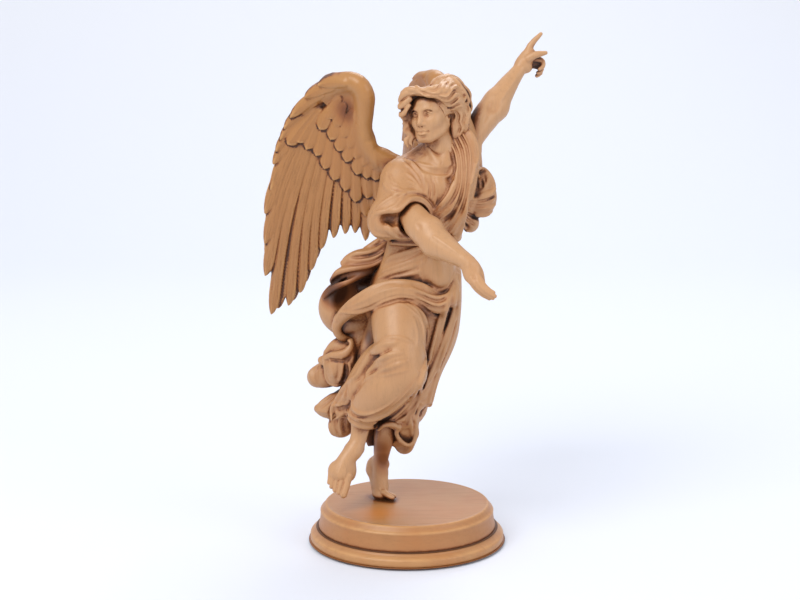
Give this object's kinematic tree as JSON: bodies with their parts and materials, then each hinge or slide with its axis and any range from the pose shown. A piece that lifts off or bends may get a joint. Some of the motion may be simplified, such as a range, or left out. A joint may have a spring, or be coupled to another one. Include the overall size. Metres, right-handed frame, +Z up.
{
  "type": "carved wooden figurine",
  "caption": "Carved wooden winged figure in a flowing robe, on tiptoe on a round turned base, with one arm raised and pointing and the other held out low.",
  "frame": {"origin": "centre of the felt's underside, on the surface that the figurine stands on", "axes": "+Z up; the figure's breast faces -Y; its raised left hand points to +X"},
  "size_m": [0.1779, 0.1862, 0.311],
  "materials": {
    "felt": "dark green felt",
    "steel": "zinc plated",
    "base_wood": "turned linden, waxed, golden orange",
    "robe_wood": "carved linden, satin, dark stain in the folds",
    "skin_wood": "carved linden, smoothed, satin",
    "wing_wood": "carved linden, satin, dark stain between feathers",
    "dowel_wood": "raw beech"
  },
  "bodies": {
    "root": {"felt_pad": "felt", "base_plinth": "base_wood", "base_drum": "base_wood", "base_screw": "steel", "screw_washer": "steel", "skirt_block": "robe_wood", "torso_block": "robe_wood", "head": "skin_wood", "sleeve_right": "robe_wood", "sleeve_left": "robe_wood", "forearm_right": "skin_wood", "arm_left": "skin_wood", "hand_right": "skin_wood", "hand_left": "skin_wood", "leg_right": "skin_wood", "leg_left": "skin_wood", "drape_upper": "robe_wood", "drape_middle": "robe_wood", "drape_lower": "robe_wood", "drape_trailing": "robe_wood", "wing_right": "wing_wood", "wing_left": "wing_wood", "waist_dowel": "dowel_wood", "neck_dowel": "dowel_wood", "shoulder_dowel_right": "dowel_wood", "shoulder_dowel_left": "dowel_wood", "elbow_dowel_right": "dowel_wood", "arm_dowel_left": "dowel_wood", "wrist_dowel_right": "dowel_wood", "wrist_dowel_left": "dowel_wood", "wing_dowel_right": "dowel_wood", "wing_dowel_left": "dowel_wood", "leg_dowel_right": "dowel_wood", "leg_dowel_left": "dowel_wood", "drape_dowel_upper": "dowel_wood", "drape_dowel_middle": "dowel_wood", "drape_dowel_lower": "dowel_wood", "drape_dowel_trailing": "dowel_wood"}
  },
  "joints": []
}
